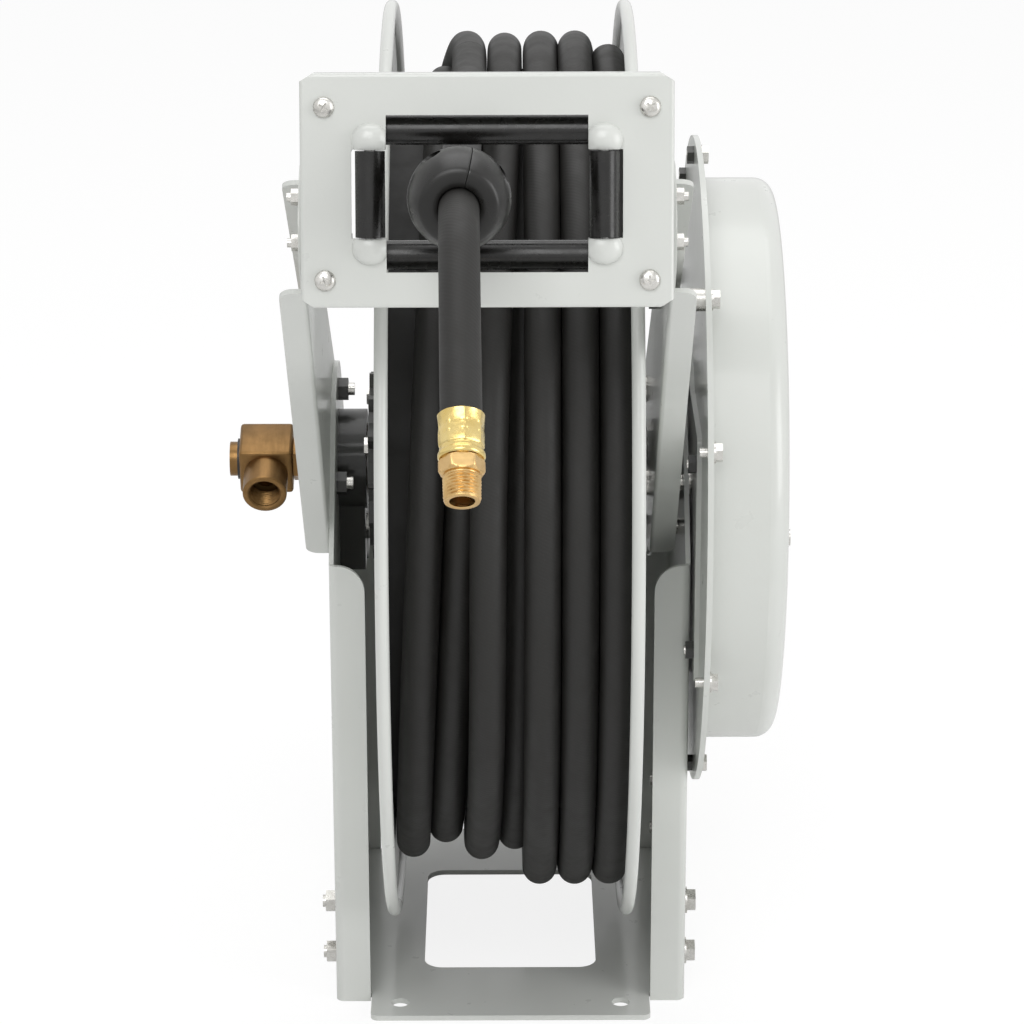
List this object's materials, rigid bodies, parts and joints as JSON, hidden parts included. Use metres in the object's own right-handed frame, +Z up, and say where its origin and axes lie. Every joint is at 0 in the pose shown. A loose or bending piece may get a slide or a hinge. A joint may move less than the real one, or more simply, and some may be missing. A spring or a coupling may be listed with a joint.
{
  "type": "spring rewind hose reel",
  "caption": "Pedestal mounted spring rewind reel with rubber hose wound between side discs, roller guide head on two arms, brass swivel inlet, hose stop and threaded hose end",
  "frame": {"origin": "centre of the base's four mounting holes, on the base's underside", "axes": "+Z up, +X along the axle toward the spring case, -Y toward the guide head's side where the hose leaves"},
  "size_m": [0.3492, 0.8485, 0.6633],
  "materials": {
    "paint": "light grey gloss powder coat",
    "zinc": "bright zinc plated fasteners",
    "steel": "bare turned and ground steel",
    "dark_paint": "dark grey satin paint",
    "brass": "machined brass",
    "crimp_brass": "bright yellow plated brass, crimped",
    "hose_rubber": "black wrapped rubber cover, fine diagonal weave",
    "stop_rubber": "black moulded rubber, satin",
    "roller_plastic": "black plastic, smooth",
    "bronze": "sintered bronze bush",
    "seal_rubber": "black nitrile",
    "spring_steel": "blued spring steel"
  },
  "bodies": {
    "frame": {"arm_bolts": "zinc", "arm_nuts": "dark_paint", "backing_plate": "paint", "base_plate": "paint", "bracket_spacers": "zinc", "case_bolts": "zinc", "case_nuts": "dark_paint", "case_rivets": "zinc", "flat_roller_pins": "steel", "guide_head": "paint", "guide_nuts": "zinc", "guide_screws": "zinc", "head_bolts": "zinc", "head_nuts": "zinc", "hose_ferrule": "crimp_brass", "hose_fitting": "brass", "hose_lead": "hose_rubber", "hose_tail": "hose_rubber", "left_arm": "paint", "left_bush": "bronze", "left_housing": "dark_paint", "left_post": "paint", "left_roller_bracket": "paint", "left_stop_half": "stop_rubber", "pawl_bracket": "dark_paint", "pawl_pin": "steel", "post_bolts": "zinc", "post_nuts": "zinc", "right_arm": "paint", "right_bush": "bronze", "right_housing": "dark_paint", "right_post": "paint", "right_roller_bracket": "paint", "right_stop_half": "stop_rubber", "side_roller_pins": "steel", "spring_band": "spring_steel", "spring_bracket": "paint", "spring_case": "paint", "stop_screws": "zinc"},
    "spool": {"shaft": "steel", "left_hub": "steel", "right_hub": "dark_paint", "left_disc": "paint", "right_disc": "paint", "drum": "paint", "hose_core": "hose_rubber", "hose_outlet": "brass", "hose_wound": "hose_rubber", "spring_arbor": "steel", "ratchet_wheel": "dark_paint", "ratchet_bolts": "zinc", "swivel_stem": "brass"},
    "inlet_swivel": {"swivel_body": "brass", "swivel_cap": "brass", "swivel_seal": "seal_rubber"},
    "top_roller_body": {"top_roller": "roller_plastic"},
    "bottom_roller_body": {"bottom_roller": "roller_plastic"},
    "left_roller_body": {"left_roller": "roller_plastic"},
    "right_roller_body": {"right_roller": "roller_plastic"},
    "pawl_body": {"pawl": "dark_paint"}
  },
  "joints": [
    {"name": "spool_turn", "type": "hinge", "parent": "frame", "child": "spool", "pos_m": [0, 0, 0.3304], "axis": [1, 0, 0], "continuous": true, "deforming": ["hose_lead"]},
    {"name": "inlet_turn", "type": "hinge", "parent": "spool", "child": "inlet_swivel", "pos_m": [-0.1555, 0, 0.3304], "axis": [1, 0, 0], "continuous": true},
    {"name": "top_roller_turn", "type": "hinge", "parent": "frame", "child": "top_roller_body", "pos_m": [-0.012, -0.32722, 0.63075], "axis": [1, 0, 0], "continuous": true},
    {"name": "bottom_roller_turn", "type": "hinge", "parent": "frame", "child": "bottom_roller_body", "pos_m": [-0.012, -0.34119, 0.56502], "axis": [1, 0, 0], "continuous": true},
    {"name": "left_roller_turn", "type": "hinge", "parent": "frame", "child": "left_roller_body", "pos_m": [-0.0745, -0.34849, 0.60093], "axis": [0, 0.2079, 0.9781], "continuous": true},
    {"name": "right_roller_turn", "type": "hinge", "parent": "frame", "child": "right_roller_body", "pos_m": [0.0505, -0.34849, 0.60093], "axis": [0, 0.2079, 0.9781], "continuous": true},
    {"name": "pawl_swing", "type": "hinge", "parent": "frame", "child": "pawl_body", "pos_m": [-0.0865, 0.044, 0.2644], "axis": [1, 0, 0], "range_deg": [0, 8], "stiffness_Nm_per_rad": 0.05}
  ]
}
